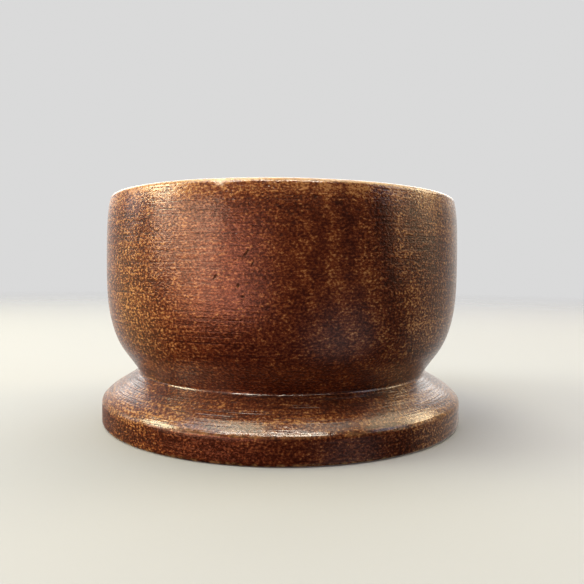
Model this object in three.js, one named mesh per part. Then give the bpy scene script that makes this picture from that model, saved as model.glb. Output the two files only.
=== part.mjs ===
// A cake of bow rosin cast in a turned hardwood cup on a flared foot.
//
// Millimetres, +Z up. The origin is the centre of the foot's flat underside, and the turning axis
// is Z. Both pieces are revolved profiles; each profile is a list of (radius, height) points that
// starts and ends on the axis.

import * as THREE from "three";

// ---- driving dimensions ---------------------------------------------------------------------

const HEIGHT = 30.3; // underside to rim
const SEGMENTS = 80; // facets round the axis

// Foot
const FOOT_R = 25.0; // outer radius of the foot's vertical band
const FOOT_FLAT_R = 24.35; // flat resting face
const FOOT_BREAK_H = 0.45; // small edge break at the underside
const FOOT_BAND_TOP = 2.85; // top of the vertical band, where the edge rounds over
const FOOT_EDGE_R = 24.55; // inner end of the rounded top edge
const FOOT_EDGE_H = 3.68;

// Crease between foot and bowl
const NECK_R = 20.1;
const NECK_H = 6.65;
const NECK_FILLET = 0.22; // what the lacquer fills in at the root of the crease

// Bowl
const BELLY_R = 24.38; // widest
const BELLY_H = 21.0;
const RIM_EDGE_R = 23.9; // outside of the rim, just below its rounded edge
const RIM_ROUND = 0.6; // outer edge rounding
const RIM_INNER_ROUND = 0.42; // inner edge rounding

// Cavity
const MOUTH_R = 20.0; // cavity radius just below the rim
const CAVITY_BASE_R = 19.3; // cavity radius at the top of the floor fillet
const FLOOR_H = 11.0;
const FLOOR_FILLET = 2.0;

// Rosin
const WALL_GAP = 0.05; // the cake's shrinkage away from the wall
const ROSIN_LEVEL = 29.35; // height of the flat middle of the cake
const MENISCUS_H = 0.5; // how far the edge climbs the wall
const MENISCUS_W = 2.4; // how wide the climb is

// ---- helpers --------------------------------------------------------------------------------

const p = (r, h) => new THREE.Vector2(r, h);

// Points of a quarter ellipse from angle a to angle b (degrees) about (r, h).
function arc(r, h, rr, rh, a, b, steps) {
  const points = [];
  for (let i = 0; i <= steps; i++) {
    const t = THREE.MathUtils.degToRad(a + ((b - a) * i) / steps);
    points.push(p(r + rr * Math.cos(t), h + rh * Math.sin(t)));
  }
  return points;
}

// A smooth run through the given points, without its first point.
function smooth(points, steps) {
  return new THREE.SplineCurve(points).getPoints(steps).slice(1);
}

// ---- the cup --------------------------------------------------------------------------------

const footTop = [
  p(FOOT_EDGE_R, FOOT_EDGE_H),
  p(23.8, 4.31),
  p(22.8, 4.94),
  p(21.8, 5.54),
  p(20.8, 6.15),
  p(NECK_R + NECK_FILLET, NECK_H - 0.17),
];

const bowl = [
  p(NECK_R + 0.12, NECK_H + NECK_FILLET),
  p(20.66, 7.6),
  p(21.51, 8.8),
  p(22.49, 10.2),
  p(23.3, 12.0),
  p(23.97, 14.5),
  p(24.31, 17.5),
  p(BELLY_R, BELLY_H),
  p(24.34, 25.0),
  p(24.14, 28.3),
  p(RIM_EDGE_R, HEIGHT - RIM_ROUND),
];

const cupProfile = [
  p(0, 0),
  p(FOOT_FLAT_R, 0),
  p(24.72, 0.09),
  p(FOOT_R - 0.06, 0.24),
  p(FOOT_R, FOOT_BREAK_H),
  p(FOOT_R, FOOT_BAND_TOP),
  p(FOOT_R - 0.05, 3.12),
  p(FOOT_R - 0.2, 3.4),
  ...footTop.slice(0, 1),
  ...smooth(footTop, 7),
  p(NECK_R, NECK_H),
  bowl[0],
  ...smooth(bowl, 17),
  ...arc(
    RIM_EDGE_R - RIM_ROUND,
    HEIGHT - RIM_ROUND,
    RIM_ROUND,
    RIM_ROUND,
    0,
    90,
    4,
  ).slice(1),
  ...arc(
    MOUTH_R + RIM_INNER_ROUND,
    HEIGHT - RIM_INNER_ROUND,
    RIM_INNER_ROUND,
    RIM_INNER_ROUND,
    90,
    180,
    3,
  ),
  p(
    (MOUTH_R + CAVITY_BASE_R) / 2,
    (HEIGHT - RIM_INNER_ROUND + FLOOR_H + FLOOR_FILLET) / 2,
  ),
  ...arc(
    CAVITY_BASE_R - FLOOR_FILLET,
    FLOOR_H + FLOOR_FILLET,
    FLOOR_FILLET,
    FLOOR_FILLET,
    0,
    -90,
    4,
  ),
  p(0, FLOOR_H),
];

// ---- the rosin ------------------------------------------------------------------------------

const edgeR = MOUTH_R - WALL_GAP;
const edgeH = ROSIN_LEVEL + MENISCUS_H;

const rosinProfile = [
  ...arc(
    CAVITY_BASE_R - FLOOR_FILLET,
    FLOOR_H + FLOOR_FILLET,
    FLOOR_FILLET - WALL_GAP,
    FLOOR_FILLET,
    -90,
    0,
    4,
  ),
  p(
    (edgeR + CAVITY_BASE_R - WALL_GAP) / 2,
    (HEIGHT - RIM_INNER_ROUND + FLOOR_H + FLOOR_FILLET) / 2,
  ),
  p(edgeR, edgeH),
  p(edgeR - 0.25 * MENISCUS_W, ROSIN_LEVEL + 0.44 * MENISCUS_H),
  p(edgeR - 0.5 * MENISCUS_W, ROSIN_LEVEL + 0.17 * MENISCUS_H),
  p(edgeR - MENISCUS_W, ROSIN_LEVEL),
];
rosinProfile.unshift(p(0, FLOOR_H));
rosinProfile.push(p(0, ROSIN_LEVEL));

// ---- the object -----------------------------------------------------------------------------

const stainedWood = new THREE.MeshStandardMaterial({
  name: "stained_wood",
  color: 0x5a3119,
  roughness: 0.34,
  metalness: 0.0,
});

const amberRosin = new THREE.MeshStandardMaterial({
  name: "rosin",
  color: 0x9a5514,
  roughness: 0.18,
  metalness: 0.0,
});

const cup = new THREE.Mesh(
  new THREE.LatheGeometry(cupProfile, SEGMENTS),
  stainedWood,
);
cup.name = "turned_cup";

const cake = new THREE.Mesh(
  new THREE.LatheGeometry(rosinProfile, SEGMENTS),
  amberRosin,
);
cake.name = "rosin_cake";

// The profiles are turned about Y, so the turning group stands them up along Z.
const turning = new THREE.Group();
turning.name = "turning_axis";
turning.rotation.x = Math.PI / 2;
turning.add(cup, cake);

const rosinInCup = new THREE.Group();
rosinInCup.name = "rosin_in_cup";
rosinInCup.add(turning);

export default rosinInCup;
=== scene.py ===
import math

import bpy
import numpy as np
from mathutils import Matrix, Vector


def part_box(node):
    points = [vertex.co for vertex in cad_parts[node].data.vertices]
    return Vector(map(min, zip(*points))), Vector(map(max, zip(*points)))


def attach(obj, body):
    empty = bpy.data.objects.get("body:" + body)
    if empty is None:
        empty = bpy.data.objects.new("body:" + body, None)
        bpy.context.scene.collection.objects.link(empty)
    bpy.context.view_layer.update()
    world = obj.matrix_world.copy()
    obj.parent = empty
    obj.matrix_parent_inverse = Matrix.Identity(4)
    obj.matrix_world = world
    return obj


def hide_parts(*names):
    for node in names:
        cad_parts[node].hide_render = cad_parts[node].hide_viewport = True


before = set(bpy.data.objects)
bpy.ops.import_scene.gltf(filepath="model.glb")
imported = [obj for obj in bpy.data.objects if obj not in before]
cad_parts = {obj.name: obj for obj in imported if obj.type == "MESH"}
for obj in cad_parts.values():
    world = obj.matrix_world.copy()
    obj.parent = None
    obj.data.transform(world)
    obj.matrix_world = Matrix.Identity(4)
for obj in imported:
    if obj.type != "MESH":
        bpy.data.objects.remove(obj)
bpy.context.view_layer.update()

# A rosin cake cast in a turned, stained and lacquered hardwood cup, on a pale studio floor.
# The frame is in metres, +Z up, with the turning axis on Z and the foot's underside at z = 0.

MM = 0.001
scene = bpy.context.scene
collection = scene.collection

cup_low, cup_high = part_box("turned_cup")
rosin_low, rosin_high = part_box("rosin_cake")

# The profiles below are written for a foot radius of 25 mm and a rim height of 30.3 mm, and take
# their scale from the frame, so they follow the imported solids.
KR = (cup_high[0] - cup_low[0]) / 2 / 25.0  # metres per profile unit of radius
KZ = (cup_high[2] - cup_low[2]) / 30.3  # metres per profile unit of height
CX = (cup_high[0] + cup_low[0]) / 2
CY = (cup_high[1] + cup_low[1]) / 2
CZ = cup_low[2]
RIM = 30.3
FLOOR_OF_CUP = (rosin_low[2] - CZ) / KZ
ROSIN_R = (rosin_high[0] - rosin_low[0]) / 2 / KR
ROSIN_TOP = (rosin_high[2] - CZ) / KZ

rng = np.random.default_rng(20817)


# ---------------------------------------------------------------------------------------------
# Geometry helpers
# ---------------------------------------------------------------------------------------------


def natural_spline(points, spacing):
    """Points along a natural cubic spline through the given ones, about spacing apart."""
    pts = np.array(points, float)
    t = np.r_[0, np.cumsum(np.hypot(*np.diff(pts, axis=0).T))]
    n = len(t)
    h = np.diff(t)
    a = np.zeros((n, n))
    b = np.zeros((n, 2))
    a[0, 0] = a[-1, -1] = 1
    for i in range(1, n - 1):
        a[i, i - 1], a[i, i], a[i, i + 1] = h[i - 1], 2 * (h[i - 1] + h[i]), h[i]
        b[i] = 6 * ((pts[i + 1] - pts[i]) / h[i] - (pts[i] - pts[i - 1]) / h[i - 1])
    m = np.linalg.solve(a, b)
    s = np.linspace(0, t[-1], max(2, int(round(t[-1] / spacing)) + 1))
    k = np.clip(np.searchsorted(t, s, side="right") - 1, 0, n - 2)
    d0, d1, hk = s - t[k], t[k + 1] - s, h[k]
    out = (
        m[k] * (d1**3 / (6 * hk))[:, None]
        + m[k + 1] * (d0**3 / (6 * hk))[:, None]
        + (pts[k] / hk[:, None] - m[k] * (hk / 6)[:, None]) * d1[:, None]
        + (pts[k + 1] / hk[:, None] - m[k + 1] * (hk / 6)[:, None]) * d0[:, None]
    )
    out[0], out[-1] = pts[0], pts[-1]
    return out


def corner(cr, cz, radius, a0, a1, spacing):
    """Points of an arc about (cr, cz) from angle a0 to a1 in degrees."""
    n = max(3, int(round(abs(math.radians(a1 - a0)) * radius / spacing)) + 1)
    t = np.radians(np.linspace(a0, a1, n))
    return np.stack([cr + radius * np.cos(t), cz + radius * np.sin(t)], 1)


def line(a, b, spacing):
    a, b = np.array(a, float), np.array(b, float)
    n = max(2, int(round(np.hypot(*(b - a)) / spacing)) + 1)
    return a + (b - a) * np.linspace(0, 1, n)[:, None]


def chain(*runs):
    """Joins runs of points, dropping each repeated joint."""
    out = [np.asarray(runs[0], float)]
    for run in runs[1:]:
        run = np.asarray(run, float)
        if np.hypot(*(run[0] - out[-1][-1])) < 1e-6:
            run = run[1:]
        out.append(run)
    return np.concatenate(out)


def smooth_noise(n_a, n_b, cells_a, cells_b, seed, wrap_b=True):
    """A smooth random field on an n_a by n_b grid, between about -1 and 1, periodic along b."""
    r = np.random.default_rng(seed)
    cells_a, cells_b = int(max(2, cells_a)), int(max(3, cells_b))
    grid = r.uniform(-1, 1, (cells_a + 3, cells_b))
    u = np.linspace(0, cells_a, n_a)
    v = np.arange(n_b) / n_b * cells_b

    def weights(f):
        return np.stack(
            [
                -0.5 * f + f**2 - 0.5 * f**3,
                1 - 2.5 * f**2 + 1.5 * f**3,
                0.5 * f + 2 * f**2 - 1.5 * f**3,
                -0.5 * f**2 + 0.5 * f**3,
            ]
        )

    iu = np.minimum(u.astype(int), cells_a - 1)
    iv = v.astype(int)
    wu, wv = weights(u - iu), weights(v - iv)
    rows = np.zeros((n_a, cells_b))
    for k in range(4):
        rows += wu[k][:, None] * grid[iu + k]
    out = np.zeros((n_a, n_b))
    for k in range(4):
        out += wv[k][None, :] * rows[:, (iv + k - 1) % cells_b]
    return out


def revolve(name, radius, height, closed_bottom=True, closed_top=True):
    """A mesh from radius and height fields (rings by segments), in profile units."""
    rings, segments = radius.shape
    a = np.arange(segments) / segments * 2 * math.pi
    x = CX + radius * KR * np.sin(a)
    y = CY - radius * KR * np.cos(a)
    z = CZ + height * KZ
    verts = np.stack([x, y, z], -1).reshape(-1, 3)
    i = np.arange(rings - 1)[:, None] * segments
    j = np.arange(segments)[None, :]
    k = (j + 1) % segments
    quads = np.stack([i + j, i + k, i + segments + k, i + segments + j], -1).reshape(-1, 4)
    faces = quads.tolist()
    verts = verts.tolist()
    if closed_bottom:
        verts.append([CX, CY, CZ + float(height[0].mean()) * KZ])
        c = len(verts) - 1
        faces += [[c, (s + 1) % segments, s] for s in range(segments)]
    if closed_top:
        verts.append([CX, CY, CZ + float(height[-1].mean()) * KZ])
        c = len(verts) - 1
        o = (rings - 1) * segments
        faces += [[c, o + s, o + (s + 1) % segments] for s in range(segments)]
    mesh = bpy.data.meshes.new(name)
    mesh.from_pydata(verts, [], faces)
    mesh.update()
    mesh.polygons.foreach_set("use_smooth", np.ones(len(mesh.polygons), bool))
    obj = bpy.data.objects.new(name, mesh)
    collection.objects.link(obj)
    return obj


def bell(distance, width):
    return np.exp(-((distance / width) ** 2))


def degrees_apart(a, b):
    return (a - b + 180) % 360 - 180


# ---------------------------------------------------------------------------------------------
# The cup
# ---------------------------------------------------------------------------------------------

SEGMENTS = 268

underside = line((0.6, 0.0), (24.35, 0.0), 1.05)
foot_break = corner(24.55, 0.45, 0.45, -90, 0, 0.1)
foot_break = foot_break - [0.0, 0.0]
band = line((25.0, 0.45), (25.0, 2.82), 0.16)
foot_edge = natural_spline(
    [(25.0, 2.82), (24.965, 3.06), (24.84, 3.33), (24.6, 3.62), (24.3, 3.9)], 0.07
)
foot_top = natural_spline(
    [(24.3, 3.9), (23.8, 4.31), (22.8, 4.93), (21.8, 5.53), (20.8, 6.15), (20.42, 6.4)], 0.13
)
crease = natural_spline(
    [(20.42, 6.4), (20.23, 6.53), (20.13, 6.69), (20.16, 6.87), (20.32, 7.1)], 0.06
)
wall = natural_spline(
    [
        (20.32, 7.1),
        (20.66, 7.62),
        (21.51, 8.82),
        (22.46, 10.2),
        (23.3, 12.02),
        (23.96, 14.5),
        (24.3, 17.5),
        (24.38, 21.0),
        (24.34, 25.0),
        (24.14, 28.3),
        (23.93, 29.6),
    ],
    0.126,
)
rim_edge = natural_spline(
    [(23.93, 29.6), (23.88, 29.82), (23.75, 30.04), (23.54, 30.2), (23.26, 30.28), (23.0, RIM)],
    0.065,
)
land = line((23.0, RIM), (20.5, RIM), 0.21)
inner_edge = natural_spline(
    [(20.5, RIM), (20.3, 30.26), (20.12, 30.15), (20.03, 30.0), (20.0, 29.82)], 0.08
)
inner_wall = line((20.0, 29.82), (19.96, 28.9), 0.2)
below = line((19.96, 28.9), (19.3, 13.0), 2.0)
fillet = corner(17.3, 13.0, 2.0, 0, -90, 0.5)
cavity_floor = line((17.3, FLOOR_OF_CUP), (0.8, FLOOR_OF_CUP), 3.0)

profile = chain(
    underside,
    foot_break,
    band,
    foot_edge,
    foot_top,
    crease,
    wall,
    rim_edge,
    land,
    inner_edge,
    inner_wall,
    below,
    fillet,
    cavity_floor,
)
arc_length = np.r_[0, np.cumsum(np.hypot(*np.diff(profile, axis=0).T))]
rings = len(profile)

# Outward normals of the profile, for moving points across the surface.
along = np.gradient(profile, arc_length, axis=0)
across = np.stack([along[:, 1], -along[:, 0]], 1)
across /= np.linalg.norm(across, axis=1, keepdims=True)

azimuth = np.degrees(np.arange(SEGMENTS) / SEGMENTS * 2 * math.pi)
az_grid = azimuth[None, :]
r0 = profile[:, 0][:, None]
z0 = profile[:, 1][:, None]

# Where the outside shows: everything from the foot's band up to the cavity's mouth.
shown = (
    (profile[:, 1] > 0.3) & ((profile[:, 0] > 20.02) | (profile[:, 1] > 29.3))
).astype(float)[:, None]

# Turning marks. The tool left rings of uneven pitch, which wander a little round the cup, on top
# of a broader hand-turned unevenness that makes the reflections waver.
move = np.zeros((rings, SEGMENTS))
length = arc_length[-1]
wander = smooth_noise(rings, SEGMENTS, length / 4, 9, 11)
for pitch, depth, seed in ((0.46, 0.0028, 1), (0.74, 0.0030, 2), (1.7, 0.0045, 3)):
    r = np.random.default_rng(seed)
    steps = np.cumsum(r.uniform(0.6, 1.4, int(length / pitch) + 4)) * pitch
    values = r.uniform(-1, 1, len(steps))
    phase = arc_length[:, None] + 0.16 * wander
    ring = np.interp(phase, steps - steps[0] - 1, values)
    fade = 0.6 + 0.4 * smooth_noise(rings, SEGMENTS, length / 6, 13, 20 + seed)
    move += depth * ring * fade
move += 0.010 * smooth_noise(rings, SEGMENTS, length / 6.0, 11, 31)
move += 0.0035 * smooth_noise(rings, SEGMENTS, length / 1.6, 64, 32)
move *= shown

# Small knocks and pits under the lacquer, and a chip out of the rim's outer edge.
pits = [
    (-9.3, 22.1, 0.16, 0.34, 0.045, 40),
    (-8.2, 22.6, 0.10, 0.22, 0.030, 35),
    (-17.0, 19.8, 0.11, 0.24, 0.040, 30),
    (-11.0, 18.9, 0.12, 0.22, 0.045, 10),
    (-9.0, 17.9, 0.22, 0.08, 0.020, 0),
    (-26.0, 24.0, 0.10, 0.10, 0.018, 0),
    (31.0, 17.3, 0.30, 0.14, 0.020, 15),
    (58.0, 13.0, 0.20, 0.30, 0.028, -20),
    (96.0, 24.4, 0.34, 0.12, 0.026, 25),
    (118.0, 11.6, 0.16, 0.40, 0.030, 10),
    (171.0, 20.0, 0.22, 0.34, 0.034, -30),
    (205.0, 15.1, 0.14, 0.30, 0.028, 12),
    (236.0, 26.0, 0.42, 0.12, 0.026, 8),
    (287.0, 19.2, 0.16, 0.26, 0.030, 35),
]
for az, z, wide, tall, deep, lean in pits:
    u = degrees_apart(az_grid, az) * math.pi / 180 * 24.3
    v = z0 - z
    c, s = math.cos(math.radians(lean)), math.sin(math.radians(lean))
    u, v = c * u - s * v, s * u + c * v
    spot = np.exp(-((u / max(wide, 0.3)) ** 2) - (v / max(tall, 0.16)) ** 2)
    move -= deep * 0.6 * spot * (r0 > 20.5) * shown
chips = [(-16.2, 0.62, 0.11), (74.0, 0.5, 0.07), (151.0, 0.9, 0.10), (262.0, 0.5, 0.08)]
near_rim = bell(np.hypot(r0 - 23.85, z0 - 30.0), 0.42)
for az, wide, deep in chips:
    u = degrees_apart(az_grid, az) * math.pi / 180 * 23.8
    move -= deep * bell(u, wide) * near_rim
near_foot = bell(np.hypot(r0 - 24.86, z0 - 3.3), 0.4)
for az, wide, deep in [(-63.0, 0.7, 0.05), (-33.5, 0.5, 0.04), (48.0, 0.9, 0.05), (133.0, 1.0, 0.08), (214.0, 0.6, 0.06), (303.0, 0.8, 0.05)]:
    u = degrees_apart(az_grid, az) * math.pi / 180 * 24.8
    move -= deep * bell(u, wide) * near_foot
near_base = bell(np.hypot(r0 - 24.9, z0 - 0.25), 0.3)
move -= 0.03 * near_base * np.clip(smooth_noise(rings, SEGMENTS, 6, 70, 41), 0, 1)

radius = r0 + move * across[:, 0][:, None]
height = z0 + move * across[:, 1][:, None]

# Facing marks on the underside: shallow rings cut up into the wood, never below the floor.
under = (profile[:, 1] == 0.0) & (profile[:, 0] < 24.0)
height[under] += (
    0.012
    + 0.010 * np.sin(profile[under, 0] * 2 * math.pi / 2.1)
)[:, None] * np.ones((1, SEGMENTS))
height = np.clip(height, 0.0, RIM)
radius = np.clip(radius, 0.0, 25.0)

cup = revolve("lacquered_cup", radius, height)

# ---------------------------------------------------------------------------------------------
# The rosin
# ---------------------------------------------------------------------------------------------

ROSIN_SEGMENTS = 256
LEVEL = ROSIN_TOP - 0.5
foot_fillet = corner(17.3, 13.0, 1.95, -90, 0, 0.6)
rosin_profile = chain(
    line((0.8, FLOOR_OF_CUP), (17.3, FLOOR_OF_CUP), 3.5),
    [(x, FLOOR_OF_CUP + (y - 11.05) * 2.0 / 1.95) for x, y in foot_fillet],
    line((19.25, 13.0), (ROSIN_R, ROSIN_TOP - 0.06), 2.0),
    natural_spline(
        [
            (ROSIN_R, ROSIN_TOP - 0.06),
            (ROSIN_R - 0.05, ROSIN_TOP - 0.02),
            (ROSIN_R - 0.22, ROSIN_TOP - 0.11),
            (ROSIN_R - 0.6, LEVEL + 0.22),
            (ROSIN_R - 1.2, LEVEL + 0.085),
            (ROSIN_R - 1.9, LEVEL + 0.025),
            (ROSIN_R - 2.7, LEVEL),
        ],
        0.1,
    ),
    line((ROSIN_R - 2.7, LEVEL), (0.3, LEVEL), 0.24),
)
rr, rz = rosin_profile[:, 0][:, None], rosin_profile[:, 1][:, None]
ra = np.arange(ROSIN_SEGMENTS)[None, :] / ROSIN_SEGMENTS * 2 * math.pi
top = (rosin_profile[:, 1] > LEVEL - 0.01)[:, None] & (rr < ROSIN_R - 0.001)
X, Y = rr * np.sin(ra), -rr * np.cos(ra)

# The cake cooled from the wall inwards and sank a little in the middle.
sink = -0.16 * (1 - (rr / 17.5) ** 2).clip(0, 1) ** 1.2
# The bow has been drawn along one line, which left a faint hollow with fine furrows.
BOW = math.radians(24)
across_bow = -X * math.sin(BOW) + Y * math.cos(BOW)
along_bow = X * math.cos(BOW) + Y * math.sin(BOW)
hollow = -0.10 * np.exp(-((across_bow / 6.2) ** 4)) * (1 - 0.35 * (along_bow / 18.0) ** 2)
furrow = np.zeros_like(across_bow)
fr = np.random.default_rng(77)
for _ in range(26):
    c, w, d = fr.normal(0, 3.6), fr.uniform(0.16, 0.5), fr.uniform(0.004, 0.016)
    furrow -= d * np.exp(-(((across_bow - c - 0.02 * along_bow * fr.normal()) / w) ** 2))
n_r = len(rosin_profile)
ripple = 0.010 * smooth_noise(n_r, ROSIN_SEGMENTS, 14, 12, 51) * (rr / 19.0).clip(0.05, 1)
dz = (sink + hollow + furrow) * np.clip((ROSIN_R - 0.5 - rr) / 1.6, 0, 1) + ripple
# Burst bubbles near the edge, where the melt was poured.
for _ in range(16):
    br, ba = fr.uniform(9, 18.4), fr.uniform(0, 2 * math.pi)
    w = fr.uniform(0.22, 0.42)
    d = np.hypot(X - br * math.sin(ba), Y + br * math.cos(ba))
    dz = dz - 0.05 * np.exp(-((d / w) ** 2)) + 0.012 * np.exp(-(((d - 1.6 * w) / (0.5 * w)) ** 2))
rosin_height = rz + np.where(top, dz, 0.0)
rosin_height = np.minimum(rosin_height, ROSIN_TOP)
rosin_radius = rr + np.zeros((1, ROSIN_SEGMENTS))
# Small bites out of the cake's thin edge, where it has flaked off the wood.
edge = (rosin_profile[:, 1] > LEVEL + 0.05) & (rosin_profile[:, 0] > ROSIN_R - 0.9)
for az, w, d in [(38, 1.0, 0.22), (112, 0.7, 0.16), (197, 1.3, 0.25), (268, 0.8, 0.18), (331, 0.6, 0.15)]:
    u = degrees_apart(np.degrees(ra), az) * math.pi / 180 * 19.9
    bite = d * bell(u, w) * np.clip((rr - (ROSIN_R - 0.9)) / 0.7, 0, 1)
    rosin_height = np.where(edge[:, None], rosin_height - bite, rosin_height)

rosin = revolve("amber_rosin", rosin_radius, rosin_height)

# ---------------------------------------------------------------------------------------------
# Materials
# ---------------------------------------------------------------------------------------------


class Tree:
    """Short calls for building a node tree."""

    def __init__(self, name):
        self.material = bpy.data.materials.new(name)
        self.material.use_nodes = True
        self.nodes = self.material.node_tree.nodes
        self.links = self.material.node_tree.links
        self.nodes.clear()

    def new(self, kind, inputs=None, **props):
        n = self.nodes.new(kind)
        for k, v in props.items():
            setattr(n, k, v)
        for k, v in (inputs or {}).items():
            self.put(n, k, v)
        return n

    def put(self, node, key, value):
        socket = node.inputs[key]
        if isinstance(value, bpy.types.NodeSocket):
            self.links.new(value, socket)
        else:
            socket.default_value = value

    def math(self, op, a, b=None, c=None, clamp=False):
        n = self.new("ShaderNodeMath", operation=op, use_clamp=clamp)
        for i, v in enumerate((a, b, c)):
            if v is not None:
                self.put(n, i, v)
        return n.outputs[0]

    def vec(self, op, a, b=None, out=0, scale=None):
        n = self.new("ShaderNodeVectorMath", operation=op)
        self.put(n, 0, a)
        if b is not None:
            self.put(n, 1, b)
        if scale is not None:
            self.put(n, "Scale", scale)
        return n.outputs[out]

    def noise(self, vector, scale, detail=2.0, rough=0.5, distort=0.0, w=None, dims="3D"):
        n = self.new("ShaderNodeTexNoise", noise_dimensions=dims if w is None else "4D")
        self.put(n, "Vector", vector)
        if w is not None:
            self.put(n, "W", w)
        self.put(n, "Scale", scale)
        self.put(n, "Detail", detail)
        self.put(n, "Roughness", rough)
        self.put(n, "Distortion", distort)
        return n.outputs["Fac"]

    def span(self, value, a, b, c=0.0, d=1.0, kind="SMOOTHSTEP"):
        """value mapped from a..b to c..d, held at the ends."""
        n = self.new("ShaderNodeMapRange", interpolation_type=kind)
        self.put(n, "Value", value)
        self.put(n, "From Min", a)
        self.put(n, "From Max", b)
        self.put(n, "To Min", c)
        self.put(n, "To Max", d)
        return n.outputs["Result"]

    def mix(self, fac, a, b, blend="MIX"):
        n = self.new("ShaderNodeMix", data_type="RGBA", blend_type=blend)
        self.put(n, 0, fac)
        self.put(n, 6, a)
        self.put(n, 7, b)
        return n.outputs[2]

    def ramp(self, fac, stops, kind="LINEAR"):
        n = self.new("ShaderNodeValToRGB")
        n.color_ramp.interpolation = kind
        e = n.color_ramp.elements
        while len(e) > 1:
            e.remove(e[-1])
        e[0].position, e[0].color = stops[0][0], (*stops[0][1], 1)
        for at, colour in stops[1:]:
            x = e.new(at)
            x.color = (*colour, 1)
        self.put(n, "Fac", fac)
        return n.outputs["Color"]


def rgb(r, g, b):
    return (r, g, b, 1.0)


FLOOR_COLOUR = rgb(0.365, 0.38, 0.425)


# azimuth, height, radius, half width, half height, lean in degrees
NICKS = [
    (-9.0, 22.3, 24.4, 0.15, 0.55, 42),
    (-7.4, 21.2, 24.4, 0.11, 0.26, 30),
    (-17.0, 19.8, 24.4, 0.14, 0.42, 38),
    (-11.0, 18.9, 24.3, 0.17, 0.25, 10),
    (-9.8, 17.8, 24.3, 0.30, 0.11, 0),
    (16.0, 26.7, 24.3, 0.22, 0.10, 10),
    (33.0, 17.2, 24.3, 0.28, 0.08, 8),
    (64.0, 12.8, 23.6, 0.10, 0.34, -24),
    (121.0, 22.2, 24.4, 0.09, 0.44, 30),
    (128.0, 16.0, 24.2, 0.24, 0.08, -6),
    (176.0, 20.4, 24.4, 0.10, 0.36, -30),
    (232.0, 24.6, 24.3, 0.10, 0.30, 26),
    (281.0, 18.0, 24.3, 0.09, 0.38, 38),
]


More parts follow.
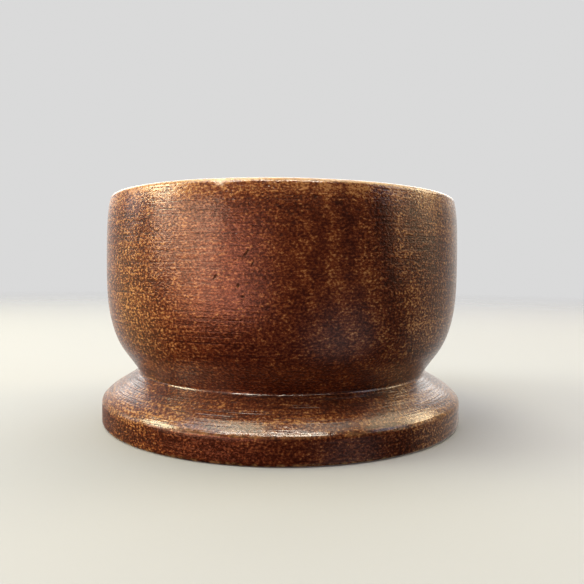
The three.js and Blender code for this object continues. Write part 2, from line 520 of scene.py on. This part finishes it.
def stained_wood():
    t = Tree("stained_lacquered_wood")
    out = t.new("ShaderNodeOutputMaterial")
    shader = t.new("ShaderNodeBsdfPrincipled")
    t.links.new(shader.outputs[0], out.inputs["Surface"])
    place = t.new("ShaderNodeTexCoord").outputs["Object"]
    p = t.vec("SCALE", place, scale=1000.0)  # millimetres
    xyz = t.new("ShaderNodeSeparateXYZ", {"Vector": p})
    x, y, z = xyz.outputs
    flat = t.new("ShaderNodeCombineXYZ", {"X": x, "Y": y, "Z": 0.0}).outputs[0]
    r = t.vec("LENGTH", flat, out="Value")
    unit = t.vec("NORMALIZE", flat)

    # Lines left by turning: quick along the profile, slow round the axis.
    around = t.vec("SCALE", unit, scale=2.2)
    side = t.math("SUBTRACT", t.math("MULTIPLY", t.math("GREATER_THAN", z, 6.66), 1.66), 0.83)
    rz = t.math("ADD", z, t.math("MULTIPLY", r, side))
    coarse_lines = t.noise(around, 1.0, 2.0, 0.6, w=t.math("MULTIPLY", rz, 2.1))
    around_fast = t.vec("SCALE", unit, scale=5.0)
    fine_lines = t.noise(around_fast, 1.0, 2.0, 0.65, w=t.math("MULTIPLY", rz, 4.4))

    # Separate tool grooves, each an arc at one height, where the stain has gathered.
    rows = t.noise((0, 0, 0), 1.0, 2.0, 0.75, w=t.math("MULTIPLY", rz, 2.7))
    here = t.noise(t.vec("SCALE", unit, scale=2.8), 1.0, 1.0, 0.5, w=t.math("MULTIPLY", rz, 1.3))
    groove = t.math("MULTIPLY", t.span(rows, 0.36, 0.42, 1.0, 0.0), t.span(here, 0.44, 0.54))
    groove = t.math("MULTIPLY", groove, t.math("MAXIMUM", t.span(x, -16.0, 2.0, 1.0, 0.5), t.span(z, 6.0, 7.0, 1.0, 0.0)))
    on_foot = t.math("MULTIPLY", t.span(z, 3.3, 3.9), t.span(z, 6.7, 7.3, 1.0, 0.0))

    grit = t.noise(t.vec("MULTIPLY", p, (0.85, 0.85, 1.3)), 5.6, 1.0, 0.5)

    # Growth rings: nearly flat sheets through the block, leaning five degrees off the axis.
    warp = t.noise(p, 0.16, 2.0, 0.5)
    lean = t.vec("DOT_PRODUCT", p, (0.799, -0.595, 0.090), out="Value")
    sheet = t.math("ADD", lean, t.math("MULTIPLY", t.math("SUBTRACT", warp, 0.5), 1.6))
    turn_of_year = t.math("MULTIPLY", t.math("SUBTRACT", sheet, 21.5), 2 * math.pi / 2.17)
    uneven = t.noise((0, 0, 0), 1.0, 0.0, 0.5, w=t.math("MULTIPLY", sheet, 0.31))
    ring = t.math("ADD", t.math("COSINE", turn_of_year), t.math("MULTIPLY", t.math("SUBTRACT", uneven, 0.5), 1.6))
    facing = t.vec("DOT_PRODUCT", unit, (0.80, -0.60, 0.0), out="Value")
    facing = t.span(t.math("ABSOLUTE", facing), 0.5, 0.88, 0.1, 1.0)
    band = t.math("MULTIPLY", t.math("MULTIPLY", ring, facing), t.span(z, 9.0, 19.0, 0.35, 1.0))

    # Fibres and flecks.
    fleck = t.noise(t.vec("MULTIPLY", p, (0.92, 0.92, 1.28)), 3.3, 2.4, 0.62, 0.1)
    mottle = t.noise(t.vec("MULTIPLY", p, (0.8, 0.8, 1.1)), 1.0, 2.0, 0.6, 0.4)
    blotch = t.noise(p, 0.34, 3.0, 0.55)
    cloud = t.noise(p, 0.075, 2.0, 0.5)

    # The flecks show most where the cut crosses the rays, on the two flanks.
    flank = t.span(t.math("ABSOLUTE", t.math("ADD", x, 0.5)), 8.0, 17.0)
    figure = t.math("ADD", 2.3, t.math("MULTIPLY", flank, 1.15))
    tone = t.math("MULTIPLY", t.math("SUBTRACT", fleck, 0.5), figure)
    tone = t.math("ADD", tone, t.math("MULTIPLY", t.math("SUBTRACT", coarse_lines, 0.5), t.math("ADD", 0.20, t.math("MULTIPLY", flank, 0.62))))
    tone = t.math("ADD", tone, t.math("MULTIPLY", t.math("SUBTRACT", grit, 0.5), t.math("MULTIPLY", flank, 0.6)))
    tone = t.math("ADD", tone, t.math("MULTIPLY", t.math("SUBTRACT", mottle, 0.5), 0.4))
    tone = t.math("ADD", tone, t.math("MULTIPLY", t.math("SUBTRACT", blotch, 0.5), 0.27))
    tone = t.math("ADD", tone, t.math("MULTIPLY", t.math("SUBTRACT", cloud, 0.5), 0.35))
    tone = t.math("SUBTRACT", tone, t.math("MULTIPLY", band, 0.135))
    tone = t.math("ADD", tone, t.math("MULTIPLY", t.math("SUBTRACT", fine_lines, 0.5), 0.62))
    tone = t.math("SUBTRACT", tone, t.math("MULTIPLY", groove, 0.34))
    rows_on_foot = t.math("MULTIPLY", t.math("SUBTRACT", t.noise(around, 1.0, 2.0, 0.7, w=t.math("MULTIPLY", rz, 1.15)), 0.5), on_foot)
    tone = t.math("ADD", tone, t.math("MULTIPLY", rows_on_foot, 1.1))
    # Painted shade: the foot's slope is made darker close to the crease, under the bowl's overhang, and lighter
    # towards its outer edge.
    tone = t.math("ADD", tone, t.math("MULTIPLY", on_foot, t.span(r, 20.8, 24.0, -0.03, 0.13)))
    # Painted shade: the foot's upright band is made darker, more on the left side than on the right.
    tone = t.math("SUBTRACT", tone, t.math("MULTIPLY", t.span(z, 2.4, 3.2, 1.0, 0.0), t.span(x, -14.0, 6.0, 0.21, 0.07)))
    # Painted shade: the bowl's underside is made darker just above the crease, fading out higher up.
    tone = t.math("SUBTRACT", tone, t.math("MULTIPLY", t.span(z, 6.6, 7.0), t.span(z, 8.0, 14.0, 0.12, 0.0)))
    # Painted light: the outside of the wall just under the rim is made lighter.
    near_rim = t.math("MULTIPLY", t.span(z, 27.2, 29.5), t.span(r, 22.8, 23.2))
    tone = t.math("ADD", tone, t.math("MULTIPLY", near_rim, 0.36))
    # Painted shade: the side of the wall facing the camera, a little to its right, is made darker.
    camera_side_shade = t.vec("DOT_PRODUCT", unit, (0.20, -0.98, 0.0), out="Value")
    tone = t.math("SUBTRACT", tone, t.span(camera_side_shade, 0.80, 1.0, 0.0, 0.085))
    tone = t.math("ADD", tone, 0.5)
    colour = t.ramp(
        tone,
        [
            (0.0, (0.022, 0.0034, 0.0014)),
            (0.30, (0.052, 0.0098, 0.0034)),
            (0.50, (0.096, 0.0218, 0.0068)),
            (0.68, (0.158, 0.0450, 0.0125)),
            (0.84, (0.245, 0.1010, 0.0320)),
            (1.0, (0.40, 0.205, 0.070)),
        ],
    )

    # Pores: short dark nicks where stain has gathered.
    cells = t.new(
        "ShaderNodeTexVoronoi",
        {"Vector": t.vec("MULTIPLY", p, (1.0, 1.0, 0.55)), "Scale": 1.05, "Randomness": 1.0},
        feature="F1",
    )
    pore = t.span(cells.outputs["Distance"], 0.05, 0.12, 1.0, 0.0)
    keep = t.span(t.noise(p, 0.6, 1.0, 0.5), 0.46, 0.56)
    pore = t.math("MULTIPLY", pore, keep)
    colour = t.mix(t.math("MULTIPLY", pore, 0.75), colour, rgb(0.018, 0.006, 0.0035))

    # Short slanted nicks cut across the grain, dark with stain.
    nick = None
    for az, high, radius_here, wide, tall, lean_over in NICKS:
        a = math.radians(az)
        sideways = Vector((math.cos(a), math.sin(a), 0.0))
        outward = Vector((math.sin(a), -math.cos(a), 0.0))
        c, s = math.cos(math.radians(lean_over)), math.sin(math.radians(lean_over))
        axes = Matrix((c * sideways - s * Vector((0, 0, 1)), outward, s * sideways + c * Vector((0, 0, 1))))
        local = t.new("ShaderNodeMapping", vector_type="TEXTURE")
        t.put(local, "Vector", p)
        t.put(local, "Location", outward * radius_here + Vector((0, 0, high)))
        t.put(local, "Rotation", axes.transposed().to_euler("XYZ"))
        t.put(local, "Scale", (wide, 2.0, tall))
        spot = t.span(t.vec("LENGTH", local.outputs[0], out="Value"), 0.55, 1.15, 1.0, 0.0)
        nick = spot if nick is None else t.math("MAXIMUM", nick, spot)
    colour = t.mix(t.math("MULTIPLY", nick, 0.85), colour, rgb(0.016, 0.0045, 0.003))

    # Edges rubbed through the stain: the rim's outer edge most, then the foot's, where the pale line is partly worn
    # wood and partly a painted highlight.
    rub = t.noise(p, 1.3, 3.0, 0.6)
    rim_d = t.vec(
        "LENGTH",
        t.new(
            "ShaderNodeCombineXYZ",
            {"X": t.math("SUBTRACT", r, 23.62), "Y": t.math("SUBTRACT", z, 30.14), "Z": 0.0},
        ).outputs[0],
        out="Value",
    )
    rim_d = t.math("ADD", rim_d, t.math("MULTIPLY", t.math("SUBTRACT", rub, 0.5), 0.5))
    rim_wear = t.math("MULTIPLY", t.span(rim_d, 0.12, 0.46, 1.0, 0.0), t.span(rub, 0.25, 0.6, 1.0, 0.6))
    # The foot's upper edge: one pale line that is partly wear and partly painted highlight.
    foot_d = t.vec(
        "LENGTH",
        t.new(
            "ShaderNodeCombineXYZ",
            {"X": t.math("SUBTRACT", r, 24.9), "Y": t.math("SUBTRACT", z, 3.32), "Z": 0.0},
        ).outputs[0],
        out="Value",
    )
    foot_wear_and_highlight = t.math("MULTIPLY", t.span(foot_d, 0.15, 0.42, 1.0, 0.0), t.span(rub, 0.38, 0.62))
    base_d = t.math("MULTIPLY", t.span(z, 0.1, 0.5, 1.0, 0.0), t.span(r, 24.3, 24.7))
    base_wear = t.math("MULTIPLY", base_d, t.span(rub, 0.42, 0.66))
    inner_wear = t.math(
        "MULTIPLY",
        t.span(r, 20.12, 20.42, 1.0, 0.0),
        t.math("MULTIPLY", t.span(z, 29.7, 30.05), t.span(rub, 0.35, 0.6, 0.1, 1.0)),
    )
    wear_and_highlight = t.math("MAXIMUM", t.math("MULTIPLY", rim_wear, 0.95), t.math("MULTIPLY", foot_wear_and_highlight, 0.18))
    wear_and_highlight = t.math("MAXIMUM", wear_and_highlight, t.math("MULTIPLY", base_wear, 0.6))
    wear_and_highlight = t.math("MAXIMUM", wear_and_highlight, t.math("MULTIPLY", inner_wear, 0.6))
    pale_edge_colour = t.mix(fleck, rgb(0.30, 0.135, 0.038), rgb(0.80, 0.56, 0.26))
    colour = t.mix(wear_and_highlight, colour, pale_edge_colour)

    # The chip in the rim shows raw pale wood.
    chip_at = t.new("ShaderNodeCombineXYZ", {"X": -6.68, "Y": -22.94, "Z": 29.95}).outputs[0]
    chip = t.span(
        t.math("ADD", t.vec("DISTANCE", p, chip_at, out="Value"), t.math("MULTIPLY", rub, 0.5)),
        0.45,
        1.0,
        1.0,
        0.0,
    )
    colour = t.mix(t.math("MULTIPLY", chip, 0.8), colour, rgb(0.62, 0.45, 0.30))

    # The underside was stained but never lacquered; the cavity is bare.
    under = t.math("MULTIPLY", t.span(z, 0.03, 0.08, 1.0, 0.0), t.span(r, 24.2, 24.5, 1.0, 0.0))
    under_tone = t.mix(blotch, rgb(0.10, 0.045, 0.018), rgb(0.24, 0.13, 0.06))
    colour = t.mix(t.math("MULTIPLY", under, 0.75), colour, under_tone)
    inside = t.math("MULTIPLY", t.span(r, 19.9, 20.1, 1.0, 0.0), t.span(z, 8.0, 9.0))
    colour = t.mix(inside, colour, rgb(0.30, 0.15, 0.06))

    # Rosin dust on the land of the rim.
    dust_z = t.math("MULTIPLY", t.span(z, 30.05, 30.25), t.span(r, 20.1, 20.4))
    grains = t.span(t.noise(p, 4.5, 2.0, 0.7), 0.45, 0.75)
    drift = t.span(t.noise(p, 0.35, 3.0, 0.6), 0.35, 0.7)
    near_cake = t.span(r, 20.3, 23.0, 1.0, 0.35)
    dust = t.math("MULTIPLY", t.math("MULTIPLY", dust_z, near_cake), t.math("MULTIPLY", grains, drift))
    colour = t.mix(t.math("MULTIPLY", dust, 0.42), colour, rgb(0.66, 0.50, 0.30))

    t.put(shader, "Base Color", colour)

    gloss = t.math("ADD", 0.40, t.math("MULTIPLY", t.math("SUBTRACT", fleck, 0.5), 0.22))
    gloss = t.math("ADD", gloss, t.math("MULTIPLY", t.math("SUBTRACT", blotch, 0.5), 0.16))
    gloss = t.math("ADD", gloss, t.math("MULTIPLY", dust, 0.25))
    gloss = t.math("ADD", gloss, t.math("MULTIPLY", under, 0.25), clamp=True)
    t.put(shader, "Roughness", gloss)
    t.put(shader, "IOR", 1.45)
    t.put(shader, "Specular IOR Level", 0.14)
    t.put(shader, "Specular Tint", rgb(1.0, 0.62, 0.42))
    # The lacquer has sunk into the dark, open parts of the grain, which stay dull.
    sunk = t.math("SUBTRACT", t.math("ADD", fleck, t.math("MULTIPLY", grit, 0.35)), 0.175)
    sunk = t.span(sunk, 0.40, 0.60, 0.40, 0.0)
    sunk = t.math("MULTIPLY", sunk, t.span(z, 29.9, 30.2, 1.0, 0.35))
    sunk = t.math("MULTIPLY", sunk, t.math("SUBTRACT", 1.0, t.math("MULTIPLY", on_foot, 0.5)))
    coat = t.math("SUBTRACT", 1.0, t.math("MAXIMUM", sunk, t.math("MULTIPLY", t.math("MAXIMUM", under, wear_and_highlight), 0.4)))
    # The foot's band gets less lacquer sheen on its left side than on its right: a side-to-side change that stands
    # in for how light falls there, not a difference in the finish.
    coat = t.math("SUBTRACT", coat, t.math("MULTIPLY", t.span(z, 2.5, 3.1, 1.0, 0.0), t.span(x, -5.0, 8.0, 0.75, 0.1)), clamp=True)
    coat = t.math("SUBTRACT", coat, t.math("MULTIPLY", dust, 0.3), clamp=True)
    coat = t.math("MULTIPLY", coat, t.math("SUBTRACT", 1.0, t.math("MULTIPLY", nick, 0.85)))
    t.put(shader, "Coat Weight", coat)
    t.put(shader, "Coat Roughness", 0.16)
    t.put(shader, "Coat IOR", 1.58)

    # Relief in micrometres: the grain, and then all that the lacquer follows too.
    grain = t.math("MULTIPLY", t.math("SUBTRACT", fleck, 0.5), 82.0)
    grain = t.math("ADD", grain, t.math("MULTIPLY", t.math("SUBTRACT", grit, 0.5), 54.0))
    lines = t.math("MULTIPLY", t.math("SUBTRACT", coarse_lines, 0.5), 30.0)
    lines = t.math("ADD", lines, t.math("MULTIPLY", t.math("SUBTRACT", fine_lines, 0.5), 34.0))
    lines = t.math("MULTIPLY", lines, t.math("ADD", t.math("MULTIPLY", on_foot, 0.25), 1.0))
    lines = t.math("ADD", lines, t.math("MULTIPLY", rows_on_foot, 36.0))
    cut = t.math("ADD", 11.0, t.math("MULTIPLY", on_foot, 17.0))
    lines = t.math("SUBTRACT", lines, t.math("MULTIPLY", groove, cut))
    lines = t.math("ADD", lines, t.math("MULTIPLY", t.math("SUBTRACT", blotch, 0.5), 30.0))
    lines = t.math("SUBTRACT", lines, t.math("MULTIPLY", pore, 14.0))
    lines = t.math("SUBTRACT", lines, t.math("MULTIPLY", nick, 24.0))
    lines = t.math("ADD", lines, t.math("MULTIPLY", dust, 5.0))
    relief = t.math("ADD", grain, lines)
    bump = t.new("ShaderNodeBump", {"Height": relief, "Strength": 1.0, "Distance": 1e-6})
    t.put(shader, "Normal", bump.outputs[0])
    smoother = t.math("SUBTRACT", 0.30, t.math("MULTIPLY", t.math("MAXIMUM", on_foot, t.span(z, 2.4, 2.9)), t.span(z, 6.8, 7.2, 0.22, 0.0)))
    film = t.math("ADD", t.math("MULTIPLY", grain, smoother), t.math("MULTIPLY", lines, 0.85))
    skin = t.new("ShaderNodeBump", {"Height": film, "Strength": 1.0, "Distance": 1e-6})
    t.put(shader, "Coat Normal", skin.outputs[0])
    return t.material


def amber():
    t = Tree("amber_rosin")
    out = t.new("ShaderNodeOutputMaterial")
    shader = t.new("ShaderNodeBsdfPrincipled")
    t.links.new(shader.outputs[0], out.inputs["Surface"])
    place = t.new("ShaderNodeTexCoord").outputs["Object"]
    p = t.vec("SCALE", place, scale=1000.0)
    xyz = t.new("ShaderNodeSeparateXYZ", {"Vector": p})
    x, y, z = xyz.outputs
    flat = t.new("ShaderNodeCombineXYZ", {"X": x, "Y": y, "Z": 0.0}).outputs[0]
    r = t.vec("LENGTH", flat, out="Value")

    swirl = t.noise(p, 0.13, 3.0, 0.55, 1.2)
    haze = t.noise(p, 0.5, 4.0, 0.6)
    depth = t.span(r, 6.0, 19.5, 0.0, 1.0)
    body = t.ramp(
        t.math("ADD", t.math("MULTIPLY", swirl, 0.72), t.math("MULTIPLY", depth, 0.26)),
        [
            (0.15, (0.105, 0.020, 0.0012)),
            (0.42, (0.200, 0.053, 0.0026)),
            (0.65, (0.340, 0.115, 0.0052)),
            (0.9, (0.52, 0.225, 0.0120)),
        ],
    )
    # Where the bow has run, the surface is powdered and scratched along one direction.
    c, s = math.cos(BOW), math.sin(BOW)
    across = t.vec("DOT_PRODUCT", p, (-s, c, 0.0), out="Value")
    lengthwise = t.vec("DOT_PRODUCT", p, (c, s, 0.0), out="Value")
    hair = t.new(
        "ShaderNodeCombineXYZ",
        {
            "X": t.math("MULTIPLY", across, 9.5),
            "Y": t.math("MULTIPLY", lengthwise, 0.06),
            "Z": 0.0,
        },
    ).outputs[0]
    hairs = t.noise(hair, 1.0, 4.0, 0.72)
    broad = t.new(
        "ShaderNodeCombineXYZ",
        {
            "X": t.math("MULTIPLY", across, 0.8),
            "Y": t.math("MULTIPLY", lengthwise, 0.05),
            "Z": 3.0,
        },
    ).outputs[0]
    broads = t.noise(broad, 1.0, 2.0, 0.6)
    lane = t.span(t.math("ABSOLUTE", across), 4.5, 9.5, 1.0, 0.0)
    lane = t.math("MULTIPLY", lane, t.span(broads, 0.3, 0.65, 0.65, 1.0))
    scratch = t.math("MULTIPLY", lane, t.span(hairs, 0.58, 0.66))
    # A few stray strokes at other angles.
    c2, s2 = math.cos(math.radians(-38)), math.sin(math.radians(-38))
    stray = t.new(
        "ShaderNodeCombineXYZ",
        {
            "X": t.math("MULTIPLY", t.vec("DOT_PRODUCT", p, (-s2, c2, 0.0), out="Value"), 3.2),
            "Y": t.math("MULTIPLY", t.vec("DOT_PRODUCT", p, (c2, s2, 0.0), out="Value"), 0.09),
            "Z": 7.0,
        },
    ).outputs[0]
    strays = t.span(t.noise(stray, 1.0, 3.0, 0.7), 0.64, 0.72)
    powder = t.math("MULTIPLY", t.span(t.noise(p, 2.2, 4.0, 0.7), 0.42, 0.7), t.math("ADD", t.math("MULTIPLY", lane, 0.35), 0.04))
    corner_dust = t.math("MULTIPLY", t.span(r, 18.6, 19.8), t.span(haze, 0.42, 0.7))
    white = t.math("MAXIMUM", t.math("MULTIPLY", scratch, 0.27), t.math("MULTIPLY", powder, 0.22))
    white = t.math("MAXIMUM", white, t.math("MULTIPLY", corner_dust, 0.3))
    white = t.math("MAXIMUM", white, t.math("MULTIPLY", strays, 0.2))
    colour = t.mix(white, body, rgb(0.80, 0.70, 0.52))
    t.put(shader, "Base Color", colour)

    rough = t.math("ADD", 0.12, t.math("MULTIPLY", lane, 0.14))
    rough = t.math("ADD", rough, t.math("MULTIPLY", white, 0.7))
    rough = t.math("ADD", rough, t.math("MULTIPLY", t.math("SUBTRACT", haze, 0.5), 0.10), clamp=True)
    t.put(shader, "Roughness", rough)
    t.put(shader, "IOR", 1.54)
    t.put(shader, "Subsurface Weight", 0.4)
    t.put(shader, "Subsurface Radius", (1.0, 0.35, 0.08))
    t.put(shader, "Subsurface Scale", 0.0018)
    film = t.math("SUBTRACT", 0.62, t.math("MULTIPLY", lane, 0.3))
    film = t.math("SUBTRACT", film, t.math("MULTIPLY", white, 0.6), clamp=True)
    t.put(shader, "Coat Weight", film)
    t.put(shader, "Specular IOR Level", 0.12)
    t.put(shader, "Coat Roughness", 0.2)
    t.put(shader, "Coat IOR", 1.42)

    relief = t.math("MULTIPLY", scratch, -3.5)
    relief = t.math("SUBTRACT", relief, t.math("MULTIPLY", strays, 3.0))
    relief = t.math("ADD", relief, t.math("MULTIPLY", t.math("SUBTRACT", haze, 0.5), 5.0))
    relief = t.math("ADD", relief, t.math("MULTIPLY", powder, 4.0))
    bump = t.new("ShaderNodeBump", {"Height": relief, "Strength": 1.0, "Distance": 1e-6})
    t.put(shader, "Normal", bump.outputs[0])
    return t.material


def studio_floor():
    t = Tree("studio_floor")
    out = t.new("ShaderNodeOutputMaterial")
    shader = t.new("ShaderNodeBsdfPrincipled")
    shader.inputs["Base Color"].default_value = FLOOR_COLOUR
    shader.inputs["Roughness"].default_value = 0.9
    shader.inputs["Specular IOR Level"].default_value = 0.1
    clear = t.new("ShaderNodeBsdfTransparent")
    place = t.new("ShaderNodeTexCoord").outputs["Object"]
    away = t.vec("LENGTH", place, out="Value")
    fade = t.span(away, 0.09, 0.5)
    join = t.new("ShaderNodeMixShader")
    t.links.new(fade, join.inputs[0])
    t.links.new(shader.outputs[0], join.inputs[1])
    t.links.new(clear.outputs[0], join.inputs[2])
    t.links.new(join.outputs[0], out.inputs["Surface"])
    return t.material


cup.data.materials.append(stained_wood())
rosin.data.materials.append(amber())

# ---------------------------------------------------------------------------------------------
# Studio
# ---------------------------------------------------------------------------------------------


def ground():
    """A round pale floor that fades into the background far from the object."""
    r = np.r_[0.02, np.geomspace(0.04, 1.6, 24)]
    n = 128
    a = np.arange(n) / n * 2 * math.pi
    verts = np.stack([r[:, None] * np.cos(a), r[:, None] * np.sin(a), 0 * r[:, None] + 0 * a], -1)
    verts = verts.reshape(-1, 3).tolist() + [[0, 0, 0]]
    faces = [
        [i * n + j, (i + 1) * n + j, (i + 1) * n + (j + 1) % n, i * n + (j + 1) % n]
        for i in range(len(r) - 1)
        for j in range(n)
    ]
    faces += [[len(verts) - 1, j, (j + 1) % n] for j in range(n)]
    mesh = bpy.data.meshes.new("studio_floor")
    mesh.from_pydata(verts, [], faces)
    obj = bpy.data.objects.new("studio_floor", mesh)
    collection.objects.link(obj)
    obj.location = (CX, CY, CZ)
    return obj


floor = ground()
floor.data.materials.append(studio_floor())
floor.visible_glossy = False  # the lacquer mirrors the dark side of the studio, not the floor

AIM = Vector((CX, CY, CZ + 0.5 * (cup_high[2] - cup_low[2])))


def panel(name, azimuth, elevation, distance, wide, tall, power, colour, spread=math.pi):
    """A soft light panel. Azimuth 0 is on the camera's side, growing towards the camera's right."""
    a, e = math.radians(azimuth), math.radians(elevation)
    at = AIM + distance * Vector(
        (math.sin(a) * math.cos(e), -math.cos(a) * math.cos(e), math.sin(e))
    )
    light = bpy.data.lights.new(name, "AREA")
    light.shape = "RECTANGLE"
    light.size, light.size_y = wide, tall
    light.energy = power
    light.color = colour
    light.spread = spread
    obj = bpy.data.objects.new(name, light)
    collection.objects.link(obj)
    obj.location = at
    obj.rotation_mode = "QUATERNION"
    obj.rotation_quaternion = (AIM - at).to_track_quat("-Z", "Y")
    obj.visible_camera = False
    return obj


# name, azimuth, elevation, distance, width, height, power, colour
PANELS = [
    ("left_warm", -60, 11, 0.42, 0.36, 0.11, 0.70, (1.0, 0.66, 0.44)),
    ("left_side", -106, 12, 0.42, 0.18, 0.13, 0.90, (1.0, 0.81, 0.36)),
    ("left_window", -86, 31, 0.42, 0.17, 0.12, 1.10, (1.0, 0.95, 0.64)),
    ("left_top", -62, 52, 0.42, 0.26, 0.16, 0.54, (0.88, 0.94, 0.98)),
    ("high_left", -90, 73, 0.42, 0.30, 0.16, 1.05, (1.0, 0.92, 0.64)),
    ("high_right", 90, 73, 0.42, 0.30, 0.16, 0.40, (1.0, 0.98, 0.80)),
    ("high_back", 180, 70, 0.42, 0.40, 0.20, 0.35, (1.0, 0.97, 0.95)),
    ("back", 180, 27, 0.42, 0.56, 0.20, 0.75, (1.0, 0.98, 0.94)),
    ("ceiling_strip", 0, 56, 0.42, 0.38, 0.055, 2.35, (1.0, 0.91, 0.75)),
    ("right_window", 108, 31, 0.42, 0.17, 0.12, 0.60, (1.0, 0.80, 0.50)),
    ("right_blue", 76, 34, 0.42, 0.14, 0.12, 0.14, (0.66, 0.80, 1.0)),
    ("right_top", 100, 50, 0.42, 0.24, 0.14, 0.38, (1.0, 0.82, 0.52)),
    ("right_side", 88, 12, 0.42, 0.30, 0.12, 0.14, (1.0, 0.72, 0.46)),
]
for args in PANELS:
    lamp = panel(*args)
    if args[0] == "left_side":  # a glow from the side, too wide for the lacquer to mirror
        lamp.visible_glossy = False
    if args[0] == "ceiling_strip":  # only there for the lacquer on the foot's edge to mirror
        lamp.visible_diffuse = False
        lamp.location.x -= 0.03

# The room round the table: a plain pale backdrop to look at, and a dimmer, uneven room for the
# light that falls on the object and for what its lacquer mirrors. Each patch is a soft round glow
# (azimuth, elevation, half width and flat core in degrees, strength, colour).
BACKDROP = rgb(0.70, 0.70, 0.70)
ROOM = (0.004, 0.004, 0.005)
PATCHES = [
    (180, 6, 75, 0, 0.72, (1.0, 0.92, 0.84)),
    (180, 45, 60, 0, 0.60, (0.88, 0.96, 1.0)),
    (-20, -4, 16, 7, 2.2, (1.0, 0.38, 0.27)),
    (-38, -5, 19, 9, 2.8, (1.0, 0.38, 0.26)),
    (-58, -5, 19, 9, 2.6, (1.0, 0.43, 0.24)),
    (-30, -10, 12, 7, 2.0, (1.0, 0.33, 0.19)),
    (-50, -9, 13, 7, 1.6, (1.0, 0.36, 0.20)),
    (42, -33, 27, 8, 0.42, (1.0, 0.92, 0.88)),
    (-108, -12, 30, 0, 0.55, (1.0, 0.78, 0.36)),
    (110, -14, 26, 0, 0.42, (1.0, 0.78, 0.58)),
    (-107, 16, 13, 4, 1.7, (0.84, 0.93, 1.0)),
    (-78, 16, 12, 4, 1.2, (0.84, 0.93, 1.0)),
]


def studio_world():
    world = bpy.data.worlds.new("studio_world")
    scene.world = world
    world.use_nodes = True
    world.cycles.sampling_method = "NONE"
    nodes, links = world.node_tree.nodes, world.node_tree.links
    nodes.clear()
    out = nodes.new("ShaderNodeOutputWorld")
    look = nodes.new("ShaderNodeTexCoord").outputs["Generated"]
    total = None
    base = nodes.new("ShaderNodeRGB")
    base.outputs[0].default_value = (*ROOM, 1)
    total = base.outputs[0]
    for azimuth, elevation, half, core, strength, colour in PATCHES:
        a, e = math.radians(azimuth), math.radians(elevation)
        dot = nodes.new("ShaderNodeVectorMath")
        dot.operation = "DOT_PRODUCT"
        links.new(look, dot.inputs[0])
        dot.inputs[1].default_value = (
            math.sin(a) * math.cos(e),
            -math.cos(a) * math.cos(e),
            math.sin(e),
        )
        near = nodes.new("ShaderNodeMapRange")
        near.interpolation_type = "SMOOTHERSTEP"
        links.new(dot.outputs["Value"], near.inputs["Value"])
        near.inputs["From Min"].default_value = math.cos(math.radians(half))
        near.inputs["From Max"].default_value = math.cos(math.radians(core))
        near.inputs["To Min"].default_value = 0.0
        near.inputs["To Max"].default_value = strength
        glow = nodes.new("ShaderNodeMix")
        glow.data_type, glow.blend_type = "RGBA", "MULTIPLY"
        glow.inputs[0].default_value = 1.0
        glow.inputs[6].default_value = (*colour, 1)
        links.new(near.outputs["Result"], glow.inputs[7])
        add = nodes.new("ShaderNodeMix")
        add.data_type, add.blend_type = "RGBA", "ADD"
        add.inputs[0].default_value = 1.0
        links.new(total, add.inputs[6])
        links.new(glow.outputs[2], add.inputs[7])
        total = add.outputs[2]
    room = nodes.new("ShaderNodeBackground")
    links.new(total, room.inputs["Color"])
    plain = nodes.new("ShaderNodeBackground")
    plain.inputs["Color"].default_value = BACKDROP
    path = nodes.new("ShaderNodeLightPath")
    join = nodes.new("ShaderNodeMixShader")
    links.new(path.outputs["Is Camera Ray"], join.inputs[0])
    links.new(room.outputs[0], join.inputs[1])
    links.new(plain.outputs[0], join.inputs[2])
    links.new(join.outputs[0], out.inputs["Surface"])


studio_world()

# ---------------------------------------------------------------------------------------------
# Camera
# ---------------------------------------------------------------------------------------------

camera_data = bpy.data.cameras.new("camera")
camera = bpy.data.objects.new("camera", camera_data)
collection.objects.link(camera)
camera_data.sensor_width = 36.0
camera_data.lens = 35.825
camera_data.clip_start = 0.002
camera_data.clip_end = 20.0
pitch, yaw, roll = math.radians(2.208), math.radians(0.937), math.radians(0.585)
forward = Vector(
    (math.sin(yaw) * math.cos(pitch), math.cos(yaw) * math.cos(pitch), -math.sin(pitch))
)
right = Vector((math.cos(yaw), -math.sin(yaw), 0.0))
up = right.cross(forward)
right, up = (
    math.cos(roll) * right + math.sin(roll) * up,
    -math.sin(roll) * right + math.cos(roll) * up,
)
turn = Matrix((right, up, -forward)).transposed().to_4x4()
camera.matrix_world = Matrix.Translation((CX, CY - 84.599 * KR, CZ + 20.633 * KZ)) @ turn
scene.camera = camera

scene.view_settings.view_transform = "Standard"
scene.view_settings.look = "None"
scene.view_settings.exposure = 0.0
scene.view_settings.gamma = 1.0

# ---------------------------------------------------------------------------------------------
# Frame
# ---------------------------------------------------------------------------------------------

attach(cup, "root")
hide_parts("turned_cup")
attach(rosin, "root")
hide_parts("rosin_cake")
